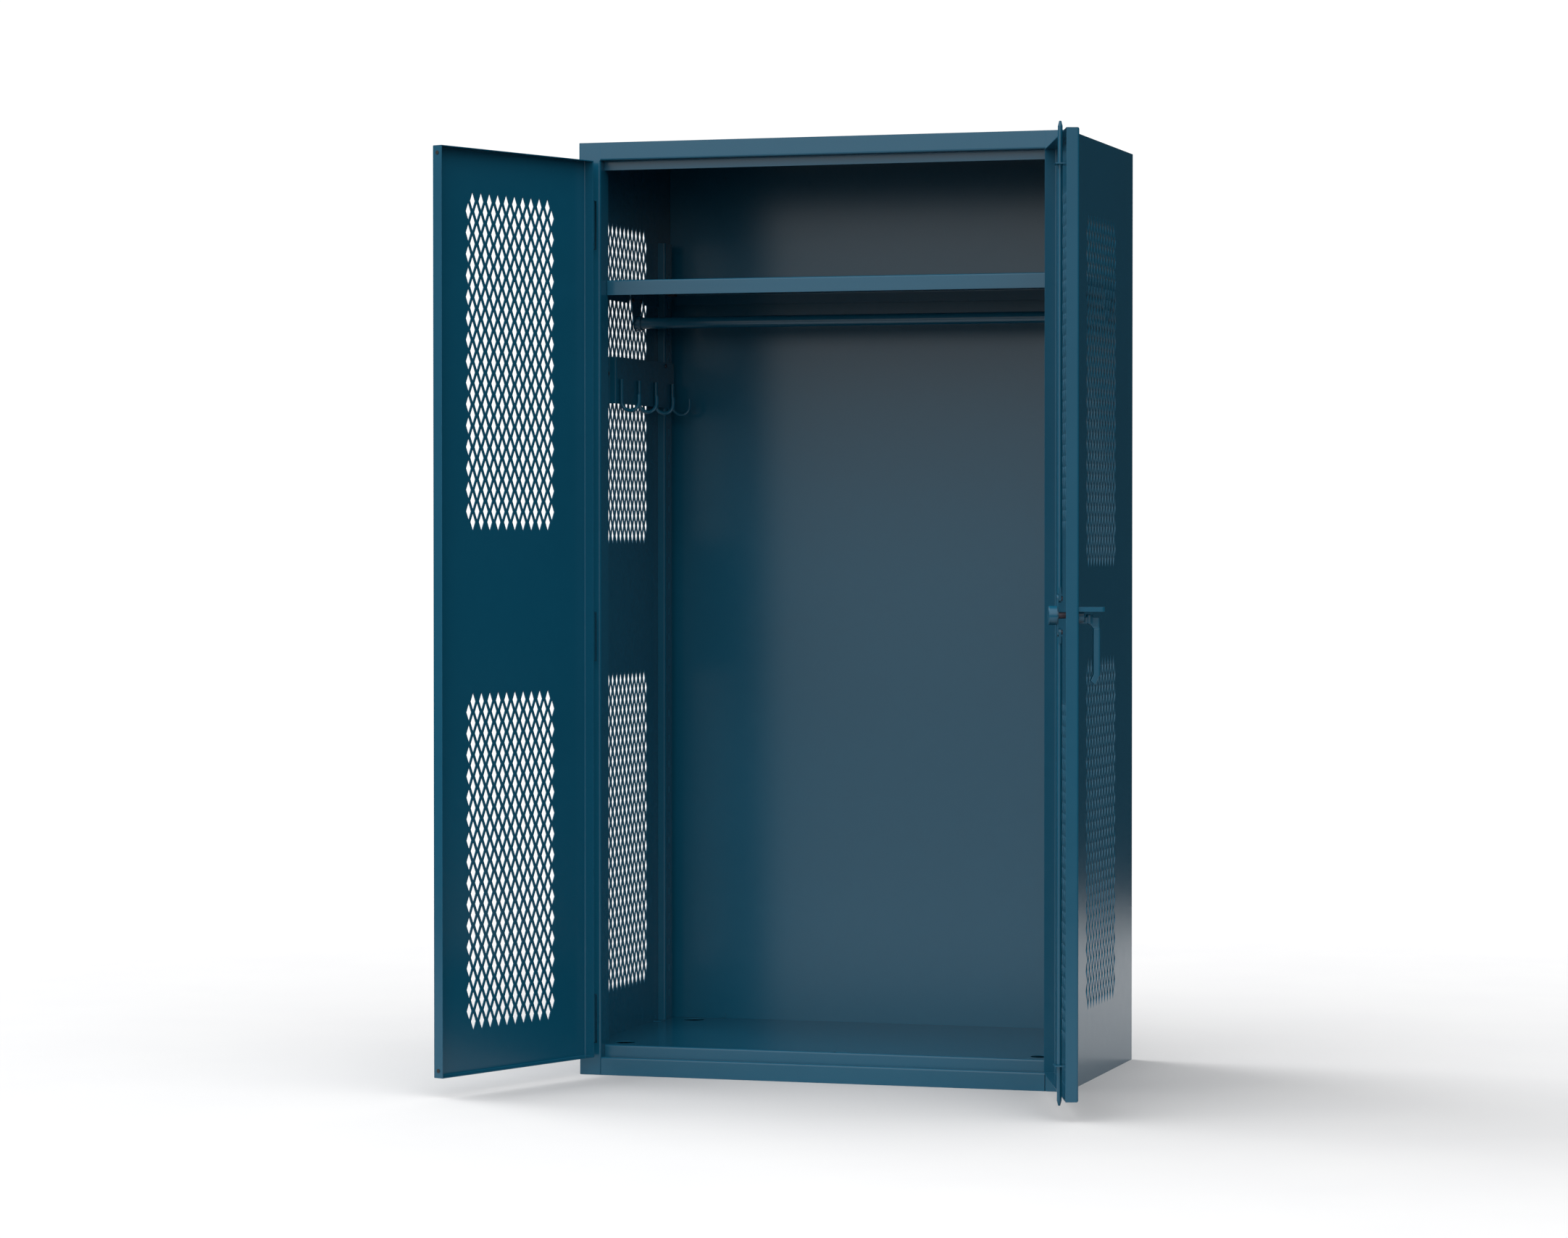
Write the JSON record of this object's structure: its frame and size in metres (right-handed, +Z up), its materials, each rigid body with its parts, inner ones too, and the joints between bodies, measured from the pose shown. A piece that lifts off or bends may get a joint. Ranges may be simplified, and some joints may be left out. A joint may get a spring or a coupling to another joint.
{
  "type": "personal locker",
  "caption": "Two door steel locker with diamond vents, shelf, hanger rod, coat hooks and a locking bar latch.",
  "frame": {"origin": "on the floor plane, under the middle of the cabinet's width and depth, on the underside of the floor support channel", "axes": "+X to the right of someone facing the doors, +Y to the back, +Z up"},
  "size_m": [1.3965, 1.0902, 1.9812],
  "materials": {
    "cabinet_paint": "dark blue powder coat, satin",
    "dark_steel": "darkened steel hardware",
    "black_rubber": "matt"
  },
  "bodies": {
    "cabinet_body": {"left_post": "cabinet_paint", "right_post": "cabinet_paint", "header_rail": "cabinet_paint", "base_rail": "cabinet_paint", "left_side_panel": "cabinet_paint", "right_side_panel": "cabinet_paint", "back_panel": "cabinet_paint", "top_panel": "cabinet_paint", "floor_pan": "cabinet_paint", "floor_support": "cabinet_paint", "shelf": "cabinet_paint", "shelf_clips": "dark_steel", "left_shelf_standard": "cabinet_paint", "right_shelf_standard": "cabinet_paint", "hanger_rod": "cabinet_paint", "left_rod_bracket": "cabinet_paint", "right_rod_bracket": "cabinet_paint", "bracket_screws": "dark_steel", "hook_plate": "cabinet_paint", "coat_hooks": "cabinet_paint", "hook_screws": "dark_steel", "back_wall_rivets": "cabinet_paint", "left_hinge_frame_leaves": "cabinet_paint", "right_hinge_frame_leaves": "cabinet_paint", "left_hinge_pins": "cabinet_paint", "right_hinge_pins": "cabinet_paint"},
    "left_door_body": {"left_door": "cabinet_paint", "left_hinge_door_leaves": "cabinet_paint", "left_door_edge_buttons": "black_rubber"},
    "right_door_body": {"right_door": "cabinet_paint", "right_hinge_door_leaves": "cabinet_paint", "spindle_bush": "dark_steel", "bolt_guides": "cabinet_paint", "guide_rivets": "cabinet_paint", "hasp_plate": "cabinet_paint"},
    "latch_body": {"latch_handle": "cabinet_paint", "latch_spindle": "dark_steel", "latch_cam": "cabinet_paint", "cam_pins": "dark_steel", "spindle_nut": "cabinet_paint"},
    "upper_bolt_body": {"upper_bolt": "cabinet_paint"},
    "lower_bolt_body": {"lower_bolt": "cabinet_paint"}
  },
  "joints": [
    {"name": "left_door_hinge", "type": "hinge", "parent": "cabinet_body", "child": "left_door_body", "pos_m": [-0.504, -0.3019, 0.9906], "axis": [0, 0, 1], "range_deg": [-4.4, 110.6]},
    {"name": "right_door_hinge", "type": "hinge", "parent": "cabinet_body", "child": "right_door_body", "pos_m": [0.504, -0.3019, 0.9906], "axis": [0, 0, 1], "range_deg": [-108.7, 6.3]},
    {"name": "handle_turn", "type": "hinge", "parent": "right_door_body", "child": "latch_body", "pos_m": [0.65673, -0.74408, 0.9906], "axis": [0.9472, 0.3206, 0], "range_deg": [0, 90]},
    {"name": "upper_bolt_pivot", "type": "hinge", "parent": "latch_body", "child": "upper_bolt_body", "pos_m": [0.62405, -0.75514, 1.0236], "axis": [0.9472, 0.3206, 0], "range_deg": [-93, 1]},
    {"name": "lower_bolt_pivot", "type": "hinge", "parent": "latch_body", "child": "lower_bolt_body", "pos_m": [0.62405, -0.75514, 0.9576], "axis": [0.9472, 0.3206, 0], "range_deg": [-93, 1]}
  ],
  "couplings": [
    {"joint": "upper_bolt_pivot", "follows": "handle_turn", "ratio": -1.0274},
    {"joint": "lower_bolt_pivot", "follows": "handle_turn", "ratio": -1.0274}
  ]
}
